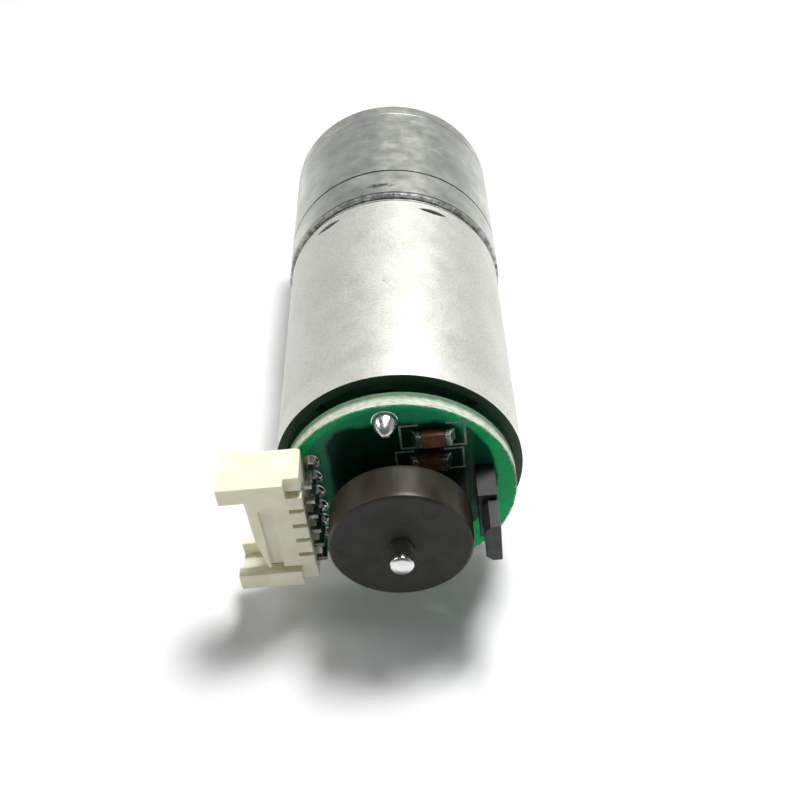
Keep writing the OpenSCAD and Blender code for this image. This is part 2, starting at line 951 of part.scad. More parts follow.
module groove_plan() {
    difference() {
        translate([groove_x, -lip_inner]) square([groove_w, 2 * lip_inner - 1.2]);
        difference() {
            translate([groove_x - cut, lip_inner - 1.2 - groove_round_r])
                square([groove_round_r + cut, groove_round_r + cut]);
            translate([groove_x + groove_round_r, lip_inner - 1.2 - groove_round_r])
                circle(groove_round_r);
        }
    }
}

module connector_housing() {
    top = board_rear + housing_h;
    roof_top = top - roof_drop;
    cavity_floor = board_rear + housing_floor;
    cavity_roof = roof_top - roof_t;
    back_x = housing_rear_x - back_wall_t;
    color("#e9e2cf")
        on_board()
            difference() {
                block([housing_mouth_x, -housing_half_l, board_rear],
                    [housing_rear_x, housing_half_l, top]);
                // plug cavity, wider than the gap between the end walls' lips
                block([housing_mouth_x - cut, end_wall_t - housing_half_l, cavity_floor],
                    [back_x, housing_half_l - end_wall_t, min(cavity_roof, top - lip_t)]);
                // roof, lower than the lips
                block([housing_mouth_x - cut, -lip_inner, roof_top],
                    [housing_rear_x + cut, lip_inner, top + cut]);
                translate([0, 0, cavity_floor]) linear_extrude(housing_h) roof_mouth_cut();
                translate([0, 0, roof_top - groove_depth]) linear_extrude(housing_h) groove_plan();
                // slot between the roof and the lower end wall
                block([housing_mouth_x - cut, -lip_inner, cavity_floor + 1],
                    [back_x + roof_slot_run_in, roof_slot_w - lip_inner, top + cut]);
                // floor cut out between the end walls
                block([housing_mouth_x - cut, -floor_cut_half, board_rear - cut],
                    [housing_mouth_x + floor_cut_l, floor_cut_half, cavity_floor + cut]);
                // end walls lower at the rear
                block([back_x, -housing_half_l - cut, top - rear_step_h],
                    [housing_rear_x + cut, -lip_inner, top + cut]);
                block([back_x, lip_inner, top - rear_step_h],
                    [housing_rear_x + cut, housing_half_l + cut, top + cut]);
                contact_places() {
                    contact();
                    // open notch over each contact
                    block([housing_rear_x - notch_l - contact_row_x, -notch_w / 2, board_rear + contact_h],
                        [housing_rear_x + cut - contact_row_x, notch_w / 2, top + cut]);
                }
            }
}

module connector_pins() {
    color("#cfd0cc")
        on_board()
            contact_places()
                contact();
}

module connector_solder() {
    color("#d9dcde")
        on_board()
            contact_places()
                difference() {
                    translate([0, 0, board_rear])
                        cylinder(r1 = solder_base_r, r2 = solder_top_r, h = solder_h);
                    contact();
                }
}

front_plate();
gearbox_tube();
rear_plate();
output_bushing();
gear_pin(pin_angle_left);  // gear_pin_left
gear_pin(pin_angle_right);  // gear_pin_right
pin_spacers();
tie_screws();
motor_mount_screws();
output_shaft();
output_gear();
output_washer();
compound_gear(1);  // compound_gear_1
compound_gear(2);  // compound_gear_2
compound_gear(3);  // compound_gear_3
compound_gear(4);  // compound_gear_4
motor_can();
front_bearing();
field_magnet(90);  // field_magnet_upper
field_magnet(270);  // field_magnet_lower
magnet_springs();
end_cap();
rear_bearing();
brushes();
brush_arms();
motor_terminals();
motor_shaft();
motor_pinion();
armature_core();
armature_windings();
commutator_hub();
commutator_segments();
rotor_spacers();
encoder_board();
terminal_solder();
capacitor_bodies();
capacitor_ends();
hall_spacer();
hall_sensor();
hall_leads();
connector_housing();
connector_pins();
connector_solder();
encoder_magnet();
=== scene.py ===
import math

import bmesh
import bpy
from mathutils import Matrix, Vector


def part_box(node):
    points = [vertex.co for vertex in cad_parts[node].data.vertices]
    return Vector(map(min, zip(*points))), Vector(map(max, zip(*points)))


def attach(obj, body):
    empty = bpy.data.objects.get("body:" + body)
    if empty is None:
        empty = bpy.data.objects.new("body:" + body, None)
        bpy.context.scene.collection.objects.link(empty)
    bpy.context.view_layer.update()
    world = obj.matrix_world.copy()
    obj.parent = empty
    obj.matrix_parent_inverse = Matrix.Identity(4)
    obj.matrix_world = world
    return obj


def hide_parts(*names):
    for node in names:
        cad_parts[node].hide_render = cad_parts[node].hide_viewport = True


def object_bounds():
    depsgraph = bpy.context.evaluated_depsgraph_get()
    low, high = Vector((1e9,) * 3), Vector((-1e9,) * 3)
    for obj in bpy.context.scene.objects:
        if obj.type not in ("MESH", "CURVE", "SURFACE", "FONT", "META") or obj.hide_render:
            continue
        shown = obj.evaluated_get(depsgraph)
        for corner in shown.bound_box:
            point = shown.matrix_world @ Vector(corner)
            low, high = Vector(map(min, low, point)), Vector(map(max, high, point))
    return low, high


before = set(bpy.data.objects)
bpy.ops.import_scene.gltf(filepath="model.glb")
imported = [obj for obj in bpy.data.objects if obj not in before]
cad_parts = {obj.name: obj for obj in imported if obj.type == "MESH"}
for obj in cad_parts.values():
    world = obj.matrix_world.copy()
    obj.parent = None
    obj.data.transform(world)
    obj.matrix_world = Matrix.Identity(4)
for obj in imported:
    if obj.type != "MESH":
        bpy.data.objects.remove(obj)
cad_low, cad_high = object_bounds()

MM = 0.001

# ---- places and sizes, in millimetres unless a name says otherwise ----
BOARD_TURN = math.radians(4.5)
CONTACT_ROW_X = -7.94
CONTACT_PITCH = 2.0
CONTACTS = 6
TERMINAL_R = 9.4
TERMINAL_ANGLES = (97.7, 277.7)
PRINT_T = 0.025
PRINT_W = 0.2
# The printed outlines as (lower left, upper right) corners, and how far their ends turn in
PRINT_FRAMES = (((0.72, 5.75), (6.72, 8.55)), ((0.1, 2.75), (6.42, 5.30)))
PRINT_TURN_IN = 1.75
PAD_T = 0.03
CONTACT_PAD = (0.5, 0.92)
TERMINAL_PAD = (0.9, 1.27)
HUB_R = 2.6
HUB_L = 1.6
MAGNET_BEVEL = 0.3


# ---- camera, floor and lights ----

CAMERA_PLACE = (-0.098, -130.844, 77.625)
CAMERA_AZIMUTH = -0.004
CAMERA_ELEVATION = 0.722
CAMERA_ROLL = -0.023
CAMERA_LENS = 49.91
FLOOR_HALF = 1500
FLOOR_GAP = 0.01
# The floor glows more with distance, so that it stays pale out to the horizon
FLOOR_GLOW_FROM, FLOOR_GLOW_TO = 180.0, 800.0
FLOOR_GLOW = (0.03, 0.55)
# The surround: its light at the horizon and overhead, and the rise over which it changes
HORIZON_LIGHT, OVERHEAD_LIGHT = 0.52, 0.13
HORIZON_BAND = (0.0, 0.45)
MIDDLE = (0, -28, 0)
# name: place, size and watts; all face MIDDLE
LIGHTS = {
    "key": ((58, 50, 285), (95, 95), 1.14),
    "right": ((260, -20, 130), (120, 180), 0.02),
    "left": ((-230, 0, 190), (80, 160), 0.12),
}


def make_camera():
    """The camera at the photograph's viewing angle, looking down on the encoder end."""
    back = Vector((math.sin(CAMERA_AZIMUTH) * math.cos(CAMERA_ELEVATION),
                   -math.cos(CAMERA_AZIMUTH) * math.cos(CAMERA_ELEVATION),
                   math.sin(CAMERA_ELEVATION)))
    level = Vector((0, 0, 1)).cross(back).normalized()
    above = back.cross(level)
    right = level * math.cos(CAMERA_ROLL) + above * math.sin(CAMERA_ROLL)
    up = above * math.cos(CAMERA_ROLL) - level * math.sin(CAMERA_ROLL)
    turn = Matrix((right, up, back)).transposed().to_4x4()
    lens = bpy.data.cameras.new("camera")
    lens.lens = CAMERA_LENS
    lens.sensor_width = 36
    lens.clip_start = 0.001
    camera = bpy.data.objects.new("camera", lens)
    camera.matrix_world = Matrix.Translation(Vector(CAMERA_PLACE) * MM) @ turn
    bpy.context.scene.collection.objects.link(camera)
    bpy.context.scene.camera = camera


def soft_light(name, place, target, size, power):
    """A rectangular studio light at place, facing target."""
    lamp = bpy.data.lights.new(name, "AREA")
    lamp.shape = "RECTANGLE"
    lamp.size, lamp.size_y = size[0] * MM, size[1] * MM
    lamp.energy = power
    thing = bpy.data.objects.new(name, lamp)
    place, target = Vector(place) * MM, Vector(target) * MM
    turn = (place - target).to_track_quat("Z", "Y").to_matrix().to_4x4()
    thing.matrix_world = Matrix.Translation(place) @ turn
    bpy.context.scene.collection.objects.link(thing)


def make_world(horizon, overhead):
    """A pale surround, brightest at the horizon."""
    world = bpy.data.worlds.new("surround")
    world.use_nodes = True
    tree = world.node_tree
    sky = tree.nodes["Background"]
    sky.inputs["Color"].default_value = (0.95, 0.97, 1.0, 1)
    place = tree.nodes.new("ShaderNodeTexCoord").outputs["Generated"]
    split = tree.nodes.new("ShaderNodeSeparateXYZ")
    tree.links.new(place, split.inputs[0])
    rise = tree.nodes.new("ShaderNodeMapRange")
    tree.links.new(split.outputs[2], rise.inputs[0])
    rise.inputs[1].default_value, rise.inputs[2].default_value = HORIZON_BAND
    rise.inputs[3].default_value, rise.inputs[4].default_value = horizon, overhead
    tree.links.new(rise.outputs[0], sky.inputs["Strength"])
    bpy.context.scene.world = world


# ---- materials ----

# Marks painted on the case and the can, in millimetres. A place along the axis is a Y, with the
# mounting face at 0. A mark starts to show at the first value of a pair and is full at the
# second, and the same goes for the half width of a line.
# The smudge's middle and half sizes are (across, along), and it shows above that height.
SMUDGE = (-0.5, -19.7)
SMUDGE_HALF = (2.2, 0.55)
SMUDGE_HEIGHT = (8.0, 9.0)
# The dark line in the joint is painted shade.
CASE_JOINT, CASE_JOINT_SHADE_HALF = -16.44, (0.19, 0.12)
# The bright line near the front is a painted highlight.
CASE_GLINT, CASE_GLINT_HALF = -4.05, (0.12, 0.04)
# The dark line where the strip starts is painted shade.
CASE_STRIP, CASE_STRIP_SHADE_HALF = -21.3, (0.14, 0.06)
CASE_STRIP_FADE = 0.08
CAN_R = 12.2
CAN_RIM_BAND = (-49.6, -50.6)
SHOULDER = (-22.52, -22.45)
# The dark lines at the shoulder's ends are painted shade.
SHOULDER_SHADE_REAR, SHOULDER_SHADE_FRONT = (-22.72, -22.62), (-22.42, -22.5)
SHOULDER_ROOT_SHADE = (-22.12, -22.02)
DIMPLE_ZONE = (-22.8, -22.9)
CAN_CUT_EDGE = (-52.5, -52.7)
# How far under the can's surface the painted shade in a dimple starts and is full
DIMPLE_SHADE = (0.22, 0.42)


class Finish:
    """One procedural material. Sizes are in millimetres of the part's own frame."""

    def __init__(self, name, **settings):
        self.material = bpy.data.materials.new(name)
        self.material.use_nodes = True
        self.tree = self.material.node_tree
        self.shader = self.tree.nodes["Principled BSDF"]
        self.place = self.add("TexCoord").outputs["Object"]
        self.last_bump = None
        for socket, value in settings.items():
            self.set(socket.replace("_", " "), value)

    def add(self, kind, inputs=None, **attributes):
        node = self.tree.nodes.new("ShaderNode" + kind)
        for key, value in attributes.items():
            setattr(node, key, value)
        for key, value in (inputs or {}).items():
            self.wire(node.inputs[key], value)
        return node

    def wire(self, socket, value):
        if isinstance(value, bpy.types.NodeSocket):
            self.tree.links.new(value, socket)
        elif socket.type == "RGBA":
            socket.default_value = (*value[:3], 1)
        else:
            socket.default_value = value

    def set(self, socket, value):
        self.wire(self.shader.inputs[socket], value)

    def math(self, what, a, b=0.0):
        return self.add("Math", {0: a, 1: b}, operation=what).outputs[0]

    def scaled(self, size, stretch=(1, 1, 1)):
        """The place divided by a feature size, longer along the axes where stretch is over 1."""
        factors = tuple(1 / (size * MM * s) for s in stretch)
        return self.add("VectorMath", {0: self.place, 1: factors}, operation="MULTIPLY").outputs[0]

    def cloud(self, size, detail=3.0, stretch=(1, 1, 1), rough=0.55):
        """Soft random values about 0.5, in patches of that size."""
        node = self.add("TexNoise", {"Vector": self.scaled(size, stretch), "Scale": 1.0,
                                     "Detail": detail, "Roughness": rough})
        return node.outputs["Fac"]

    def dots(self, spacing, radius, stretch=(1, 1, 1)):
        """1 inside scattered round dots of that radius, about that far apart, and 0 elsewhere."""
        cells = self.add("TexVoronoi", {"Vector": self.scaled(spacing, stretch), "Scale": 1.0})
        return self.between(cells.outputs["Distance"], radius / spacing, 0.5 * radius / spacing)

    def between(self, value, low, high, out_low=0.0, out_high=1.0):
        """value carried from low..high to out_low..out_high, and held at the ends."""
        node = self.add("MapRange", {0: value, 1: low, 2: high, 3: out_low, 4: out_high})
        return node.outputs[0]

    def tones(self, value, *stops):
        """Colours along value, as (position, colour) pairs."""
        node = self.add("ValToRGB", {0: value})
        ramp = node.color_ramp
        while len(ramp.elements) < len(stops):
            ramp.elements.new(0.5)
        for element, (position, colour) in zip(ramp.elements, stops):
            element.position = position
            element.color = (*colour, 1)
        return node.outputs[0]

    def mix(self, share, a, b, how="MIX"):
        node = self.add("Mix", data_type="RGBA", blend_type=how)
        self.wire(node.inputs[0], share)
        self.wire(node.inputs[6], a)
        self.wire(node.inputs[7], b)
        return node.outputs[2]

    def bump(self, height, depth):
        """Relief on top of any before it: height runs 0 to 1 over that depth."""
        node = self.add("Bump", {"Height": height, "Distance": depth * MM, "Strength": 1.0})
        if self.last_bump:
            self.wire(node.inputs["Normal"], self.last_bump)
        self.last_bump = node.outputs["Normal"]
        self.set("Normal", self.last_bump)

    def axes(self):
        """The place's three coordinates in millimetres, clocked with the encoder board."""
        turned = self.add("VectorRotate", {"Vector": self.place, "Angle": BOARD_TURN},
                          rotation_type="Y_AXIS").outputs[0]
        scaled = self.add("VectorMath", {0: turned, 1: (1 / MM,) * 3}, operation="MULTIPLY").outputs[0]
        parts = self.add("SeparateXYZ", {0: scaled}).outputs
        return parts[0], parts[1], parts[2]

    def distance(self, across, up, centre=(0.0, 0.0)):
        """How far a point of the board's plane is from centre."""
        dx = self.math("SUBTRACT", across, centre[0])
        dz = self.math("SUBTRACT", up, centre[1])
        return self.math("SQRT", self.math("ADD", self.math("MULTIPLY", dx, dx),
                                           self.math("MULTIPLY", dz, dz)))


def grained(name, dark, light, patch, rough, grain=0.12, relief=0.004, stretch=(1, 1, 1), **settings):
    """Two tones in patches, roughness that varies with them, and a fine grain in relief."""
    look = Finish(name, **settings)
    patches = look.cloud(patch, 5.0, stretch)
    look.set("Base Color", look.tones(patches, (0.3, dark), (0.7, light)))
    look.set("Roughness", look.between(look.cloud(patch * 0.4, 3.0, stretch), 0.3, 0.7, *rough))
    look.bump(look.cloud(grain, 2.0, stretch), relief)
    return look


def metal(name, dark, light, rough, patch=1.5, **more):
    """A plain metal in two tones."""
    return grained(name, dark, light, patch, rough, Metallic=1.0, **more).material


def case_metal():
    """Turned zinc alloy: mottled grey, with small bright flecks, one oily smudge near the motor, painted
    shade in the rear joint and where the rear strip starts, and a painted highlight line near the front.
    """
    look = Finish("case_metal", Metallic=0.85)
    across, depth, up = look.axes()
    mottle = look.cloud(3.4, 6.0, (1.1, 0.8, 1.1), 0.62)
    tone = look.tones(mottle, (0.28, (0.42, 0.44, 0.40)), (0.5, (0.54, 0.555, 0.505)),
                      (0.72, (0.68, 0.69, 0.63)))
    fleck = look.between(look.cloud(0.5, 2.0, (2.2, 0.7, 2.2)), 0.62, 0.74)
    stain = look.dots(5.5, 0.6, (1.6, 0.7, 1.6))
    tone = look.mix(look.math("MULTIPLY", fleck, 0.45), tone, (0.68, 0.69, 0.67))
    tone = look.mix(look.math("MULTIPLY", stain, 0.3), tone, (0.12, 0.13, 0.13))
    # the smudge, wider round the case than along it
    run = look.math("DIVIDE", look.math("SUBTRACT", across, SMUDGE[0]), SMUDGE_HALF[0])
    rise = look.math("DIVIDE", look.math("SUBTRACT", depth, SMUDGE[1]), SMUDGE_HALF[1])
    off = look.math("SQRT", look.math("ADD", look.math("MULTIPLY", run, run),
                                      look.math("MULTIPLY", rise, rise)))
    off = look.math("ADD", off, look.between(look.cloud(0.7), 0.3, 0.7, -0.35, 0.35))
    smudge = look.math("MULTIPLY", look.between(off, 1.0, 0.3), look.between(up, *SMUDGE_HEIGHT))
    tone = look.mix(look.math("MULTIPLY", smudge, 0.85), tone, (0.05, 0.055, 0.055))
    # painted shade: a dark line in the joint between the tube and the rear plate
    joint_shade = look.math("ABSOLUTE", look.math("SUBTRACT", depth, CASE_JOINT))
    tone = look.mix(look.between(joint_shade, *CASE_JOINT_SHADE_HALF), tone, (0.03, 0.035, 0.033))
    # a faint painted highlight: a bright line near the front, broken up
    line = look.math("ABSOLUTE", look.math("SUBTRACT", depth, CASE_GLINT))
    line = look.math("MULTIPLY", look.between(line, *CASE_GLINT_HALF),
                     look.between(look.cloud(1.1), 0.42, 0.6))
    tone = look.mix(look.math("MULTIPLY", line, 0.55), tone, (0.95, 0.96, 0.93))
    # the rolled strip at the rear edge: mottled, with painted shade in a dark line where it starts
    rolled = look.tones(look.cloud(0.6, 3.0), (0.35, (0.22, 0.23, 0.21)), (0.65, (0.66, 0.67, 0.62)))
    tone = look.mix(look.between(depth, CASE_STRIP, CASE_STRIP - CASE_STRIP_FADE), tone, rolled)
    strip_shade = look.math("ABSOLUTE", look.math("SUBTRACT", depth, CASE_STRIP))
    tone = look.mix(look.between(strip_shade, *CASE_STRIP_SHADE_HALF), tone, (0.045, 0.05, 0.048))
    look.set("Base Color", tone)
    look.set("Roughness", look.between(look.cloud(1.6, 4.0), 0.3, 0.7, 0.34, 0.48))
    look.bump(look.cloud(0.2, 2.0, (1.6, 0.8, 1.6)), 0.0012)
    look.bump(look.cloud(1.3, 3.0), 0.004)
    return look.material


def can_steel():
    """Matte plated steel with a fine even grain, duller at its front edge and its cut rear one, with
    painted shade in lines at its front shoulder and inside its dimples.
    """
    look = Finish("can_steel", Metallic=0.6)
    across, depth, up = look.axes()
    radius = look.distance(across, up)
    veil = look.cloud(7.0, 5.0, (1.0, 1.5, 1.0))
    tone = look.tones(veil, (0.3, (0.62, 0.63, 0.565)), (0.7, (0.73, 0.74, 0.675)))
    grain = look.cloud(0.22, 2.0)
    speckle = look.tones(grain, (0.35, (0.34, 0.345, 0.31)), (0.65, (0.88, 0.88, 0.82)))
    tone = look.mix(0.26, tone, speckle)
    specks = look.math("MULTIPLY", look.dots(2.6, 0.11), look.between(look.cloud(6.0), 0.5, 0.56))
    tone = look.mix(look.math("MULTIPLY", specks, 0.7), tone, (0.1, 0.1, 0.09))
    tone = look.mix(look.between(depth, *CAN_RIM_BAND, 0.0, 0.18), tone, (0.93, 0.935, 0.91))
    # the shoulder: mottled, with painted shade in a dark line where it meets the case and in another
    # where it ends
    mottle = look.tones(look.cloud(0.7, 3.0), (0.35, (0.36, 0.375, 0.36)), (0.65, (0.78, 0.79, 0.76)))
    tone = look.mix(look.between(depth, *SHOULDER), tone, mottle)
    line = look.math("MULTIPLY", look.between(depth, *SHOULDER_SHADE_REAR),
                     look.between(depth, *SHOULDER_SHADE_FRONT))
    line = look.math("MAXIMUM", line, look.between(depth, *SHOULDER_ROOT_SHADE))
    tone = look.mix(look.math("MULTIPLY", line, 0.85), tone, (0.05, 0.055, 0.05))
    # painted shade inside the dimples, and the cut edge at the rear made darker
    sunk_shade = look.math("MULTIPLY", look.between(radius, CAN_R - DIMPLE_SHADE[0], CAN_R - DIMPLE_SHADE[1]),
                     look.between(depth, *DIMPLE_ZONE))
    tone = look.mix(sunk_shade, tone, (0.12, 0.125, 0.115))
    normal = look.add("SeparateXYZ", {0: look.add("TexCoord").outputs["Normal"]}).outputs[1]
    cut = look.math("MULTIPLY", look.between(look.math("ABSOLUTE", normal), 0.6, 0.75),
                    look.between(depth, *CAN_CUT_EDGE))
    tone = look.mix(cut, tone, (0.036, 0.062, 0.042))
    look.set("Base Color", tone)
    look.set("Roughness", look.between(look.cloud(2.2, 4.0), 0.3, 0.7, 0.46, 0.58))
    look.bump(grain, 0.006)
    look.bump(look.cloud(0.9, 2.0), 0.005)
    return look.material


def end_cap_plastic():
    """Dark glass-filled nylon with a few pale spots."""
    look = grained("end_cap_plastic", (0.014, 0.040, 0.022), (0.034, 0.085, 0.052), 2.5,
                   (0.38, 0.55), 0.15, 0.01)
    spots = look.math("MULTIPLY", look.dots(2.2, 0.22), 0.5)
    base = look.shader.inputs["Base Color"].links[0].from_socket
    look.set("Base Color", look.mix(spots, base, (0.30, 0.34, 0.30)))
    return look.material


BOARD_R = 11.33
DARK_ZONE_X = (-6.3, 6.6)
DARK_ZONE_TOP = 6.4
DARK_ZONE_CORNER = 2.5
FIBRE_FADE = (-55.45, -54.9)
# A painted reflection: a bright crescent on the board's face, beyond this radius from this centre
REFLECTION_CENTRE = (0.0, 1.4)
REFLECTION_R = 9.45
# The crescent's tone is a painted reflection.
MASK_TONES = {"crescent_reflection": (0.006, 0.50, 0.14), "pour": (0.018, 0.30, 0.135),
              "dark": (0.0, 0.026, 0.010), "side": (0.002, 0.085, 0.034)}


def board_green():
    """Green solder mask over copper areas, darker in a rounded area in its middle and with a painted
    reflection in a bright crescent near its edge, on glass-fibre board with a rough cream edge.
    """
    look = Finish("board_green", Specular_IOR_Level=0.12)
    across, depth, up = look.axes()
    wobble = look.between(look.cloud(1.4, 3.0), 0.3, 0.7, -0.12, 0.12)
    # painted reflection: a bright crescent near the board's edge
    edge_of_reflection = look.math("ADD", look.distance(across, up, REFLECTION_CENTRE), wobble)
    crescent_reflection = look.between(edge_of_reflection, REFLECTION_R - 0.1, REFLECTION_R + 0.15)
    # a darker rounded area in the middle of the board, from its left side to its right one
    middle = sum(DARK_ZONE_X) / 2
    half = (DARK_ZONE_X[1] - DARK_ZONE_X[0]) / 2
    from_middle = look.math("ABSOLUTE", look.math("SUBTRACT", across, middle))
    off_x = look.math("SUBTRACT", from_middle, half - DARK_ZONE_CORNER)
    off_z = look.math("SUBTRACT", up, DARK_ZONE_TOP)
    out_x = look.math("MAXIMUM", off_x, 0.0)
    out_z = look.math("MAXIMUM", off_z, 0.0)
    corner = look.math("SQRT", look.math("ADD", look.math("MULTIPLY", out_x, out_x),
                                         look.math("MULTIPLY", out_z, out_z)))
    dark = look.between(look.math("ADD", corner, wobble), DARK_ZONE_CORNER + 0.3, DARK_ZONE_CORNER - 0.25)
    side = look.between(across, DARK_ZONE_X[1] - 0.1, DARK_ZONE_X[1] + 0.1)
    tone = look.mix(side, MASK_TONES["pour"], MASK_TONES["side"])
    tone = look.mix(dark, tone, MASK_TONES["dark"])
    tone = look.mix(crescent_reflection, tone, MASK_TONES["crescent_reflection"])
    tone = look.mix(0.25, tone, look.tones(look.cloud(1.1, 4.0), (0.3, (0.3, 0.3, 0.3)),
                                           (0.7, (1.0, 1.0, 1.0))), "MULTIPLY")
    # bare glass fibre round the edge
    normal = look.add("SeparateXYZ", {0: look.add("TexCoord").outputs["Normal"]}).outputs[1]
    flat = look.between(look.math("ABSOLUTE", normal), 0.6, 0.8)
    rim = look.math("ADD", look.distance(across, up), look.between(look.cloud(0.5), 0.3, 0.7, -0.1, 0.1))
    masked = look.math("MULTIPLY", flat, look.between(rim, BOARD_R - 0.10, BOARD_R - 0.16))
    layers = look.cloud(0.5, 4.0, (1.5, 0.25, 1.5))
    fibre = look.tones(layers, (0.3, (0.30, 0.36, 0.24)), (0.5, (0.58, 0.63, 0.50)),
                       (0.7, (0.76, 0.80, 0.72)))
    waver = look.between(look.cloud(0.6), 0.3, 0.7, -0.1, 0.1)
    far_half = look.between(look.math("ADD", depth, waver), *FIBRE_FADE)
    fibre = look.mix(look.math("MULTIPLY", far_half, 0.85), fibre, (0.035, 0.13, 0.06))
    look.set("Base Color", look.mix(masked, fibre, tone))
    look.set("Roughness", look.between(masked, 0.0, 1.0, 0.8, 0.24))
    look.bump(look.math("MULTIPLY", layers, look.math("SUBTRACT", 1.0, masked)), 0.09)
    look.bump(look.math("MAXIMUM", crescent_reflection, look.math("SUBTRACT", 1.0, dark)), 0.008)
    look.bump(look.cloud(0.6, 2.0), 0.004)
    return look.material


def solder():
    """Bright tin, in places dulled by flux."""
    look = Finish("solder", Metallic=1.0)
    flux = look.cloud(0.8, 4.0)
    look.set("Base Color", look.tones(flux, (0.3, (0.50, 0.49, 0.45)), (0.55, (0.80, 0.80, 0.79)),
                                      (0.8, (0.90, 0.90, 0.89))))
    look.set("Roughness", look.between(flux, 0.3, 0.7, 0.34, 0.12))
    look.bump(look.cloud(0.45, 3.0), 0.03)
    return look.material


def capacitor_ceramic():
    """Brown ceramic in two tones, in patches."""
    look = grained("capacitor_ceramic", (0.075, 0.028, 0.012), (0.19, 0.078, 0.034), 1.1,
                   (0.28, 0.45), 0.1, 0.008, Coat_Weight=0.2, Coat_Roughness=0.25)
    return look.material


def sensor_black():
    """Moulded epoxy, charcoal with a fine matte grain."""
    look = grained("sensor_black", (0.008, 0.009, 0.009), (0.018, 0.020, 0.020), 1.2,
                   (0.36, 0.55), 0.07, 0.012)
    return look.material


def connector_cream():
    """Ivory nylon that lets some light through."""
    look = Finish("connector_cream", Subsurface_Weight=0.35, Subsurface_Scale=0.0014,
                  Subsurface_Radius=(1.0, 0.85, 0.35))
    veil = look.cloud(3.0, 4.0)
    look.set("Base Color", look.tones(veil, (0.3, (0.83, 0.78, 0.58)), (0.7, (0.91, 0.88, 0.71))))
    look.set("Roughness", look.between(look.cloud(1.2), 0.3, 0.7, 0.38, 0.55))
    look.bump(look.cloud(0.12, 2.0), 0.004)
    look.bump(look.cloud(1.5, 2.0), 0.02)
    return look.material


# The radii between which the magnet's face gives way to its rim
MAGNET_RIM = (6.45, 6.62)


def encoder_magnet():
    """Bonded ferrite: a satin charcoal face and a browner, shinier ground rim."""
    look = Finish("encoder_magnet", Specular_IOR_Level=0.35)
    across, depth, up = look.axes()
    rim = look.between(look.distance(across, up), *MAGNET_RIM)
    face = look.tones(look.cloud(2.6, 5.0), (0.3, (0.016, 0.0155, 0.0135)),
                      (0.7, (0.028, 0.027, 0.0235)))
    wrap = look.tones(look.cloud(2.4, 5.0, (1.0, 2.5, 1.0)), (0.3, (0.028, 0.023, 0.016)),
                      (0.7, (0.062, 0.052, 0.037)))
    dust = look.math("MULTIPLY", look.dots(0.9, 0.045), look.between(look.cloud(2.0), 0.56, 0.6))
    tone = look.mix(look.math("MULTIPLY", dust, 0.8), look.mix(rim, face, wrap), (0.4, 0.39, 0.36))
    look.set("Base Color", tone)
    look.set("Metallic", look.between(rim, 0.0, 1.0, 0.0, 0.3))
    worn = look.between(look.cloud(1.2, 3.0), 0.3, 0.7, -0.05, 0.06)
    look.set("Roughness", look.math("ADD", look.between(rim, 0.0, 1.0, 0.58, 0.36), worn))
    look.bump(look.cloud(0.09, 2.0), 0.006)
    look.bump(look.cloud(1.3, 3.0, (1.0, 2.0, 1.0)), 0.010)
    return look.material


def shaft_steel():
    """Ground and polished steel with faint lines round it."""
    look = Finish("shaft_steel", Metallic=1.0)
    look.set("Base Color", look.tones(look.cloud(1.5, 3.0), (0.3, (0.66, 0.66, 0.65)),
                                      (0.7, (0.82, 0.82, 0.81))))
    look.set("Roughness", look.between(look.cloud(0.4, 2.0, (8.0, 0.4, 8.0)), 0.3, 0.7, 0.08, 0.2))
    look.bump(look.cloud(0.12, 2.0, (12.0, 0.5, 12.0)), 0.0015)
    return look.material


def lamination_steel():
    """A stack of stamped sheets, half a millimetre each."""
    look = grained("lamination_steel", (0.16, 0.17, 0.18), (0.33, 0.34, 0.35), 1.8, (0.3, 0.5),
                   0.2, 0.004, Metallic=1.0)
    across, depth, up = look.axes()
    seam = look.math("FRACT", look.math("DIVIDE", depth, 0.5))
    look.bump(look.between(look.math("ABSOLUTE", look.math("SUBTRACT", seam, 0.5)), 0.5, 0.4), 0.03)
    return look.material


def copper_wire():
    """Enamelled copper: close strands that run along the slots, with painted shade towards each strand's
    sides.
    """
    look = Finish("copper_wire", Metallic=0.85, Coat_Weight=0.5, Coat_Roughness=0.2)
    strand = look.add("TexVoronoi", {"Vector": look.scaled(0.3, (1, 40, 1)), "Scale": 1.0})
    strand_relief_and_shade = look.between(strand.outputs["Distance"], 0.7, 0.0)
    # painted shade: each strand darker towards its sides and in the creases between strands
    look.set("Base Color", look.tones(strand_relief_and_shade, (0.1, (0.16, 0.045, 0.015)), (0.8, (0.62, 0.23, 0.09))))
    look.set("Roughness", look.between(look.cloud(0.8), 0.3, 0.7, 0.25, 0.4))
    look.bump(strand_relief_and_shade, 0.12)
    return look.material


def dull_tin():
    """Tinned legs that have gone dull."""
    return metal("dull_tin", (0.10, 0.10, 0.09), (0.30, 0.30, 0.28), (0.16, 0.32), 0.8)


def silk_print():
    """White epoxy ink, thin enough that the mask greys it."""
    return grained("silk_print", (0.13, 0.20, 0.17), (0.30, 0.38, 0.34), 0.6, (0.5, 0.7),
                   0.08, 0.01).material


